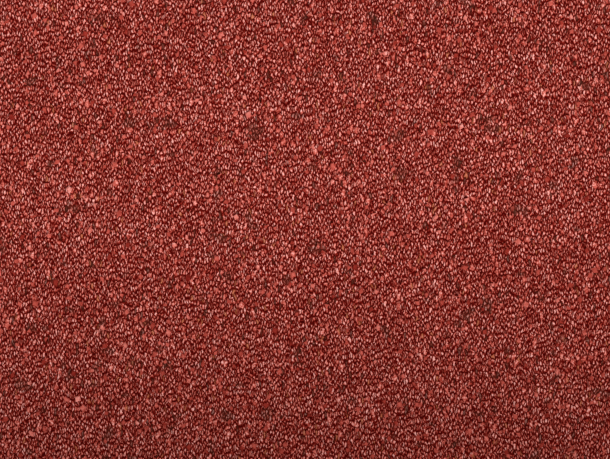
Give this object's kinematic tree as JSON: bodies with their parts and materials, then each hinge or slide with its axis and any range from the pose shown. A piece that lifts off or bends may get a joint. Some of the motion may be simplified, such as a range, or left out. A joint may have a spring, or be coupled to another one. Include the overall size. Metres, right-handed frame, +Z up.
{
  "type": "roll of roofing felt",
  "caption": "Roll of red mineral-surfaced bitumen roofing felt lying on its side, with its loose end run out flat in front of it.",
  "frame": {"origin": "on the floor, in the middle of the rectangle that the roll and its loose end cover", "axes": "+X along the roll's axis, across the sheet; -Y the way the loose end runs out from the roll; +Z up"},
  "size_m": [1, 0.9488, 0.1876],
  "materials": {
    "mineral_felt": "matte"
  },
  "bodies": {
    "root": {"felt_roll": "mineral_felt"}
  },
  "joints": []
}
